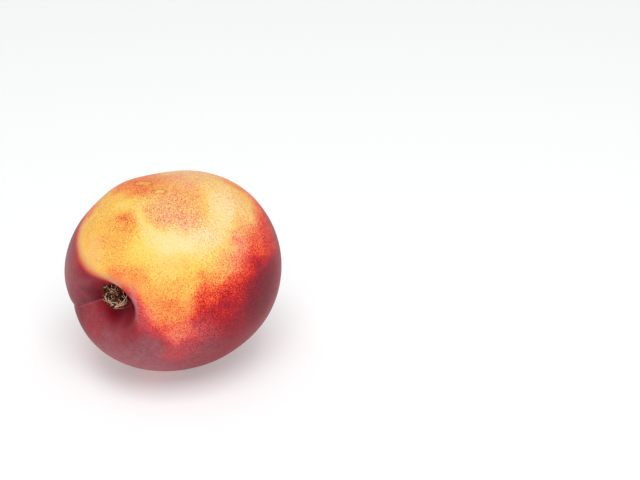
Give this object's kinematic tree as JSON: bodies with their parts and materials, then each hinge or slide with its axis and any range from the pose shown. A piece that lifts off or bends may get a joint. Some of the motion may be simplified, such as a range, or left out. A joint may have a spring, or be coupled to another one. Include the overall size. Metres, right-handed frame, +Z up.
{
  "type": "nectarine",
  "caption": "Ripe nectarine lying on its side, a round stone fruit with a suture groove and a torn woody stem stub in its cavity.",
  "frame": {"origin": "middle of the small flat spot that the fruit rests on", "axes": "+Z up from the surface it rests on, the stem end faces -Y and is lifted about 6 degrees, the suture runs down the -X side"},
  "size_m": [0.0688, 0.0671, 0.0635],
  "materials": {
    "skin": "satin, waxy fruit skin",
    "stem_wood": "dry, torn fibres"
  },
  "bodies": {
    "root": {"fruit": "skin", "stem_stub": "stem_wood"}
  },
  "joints": []
}
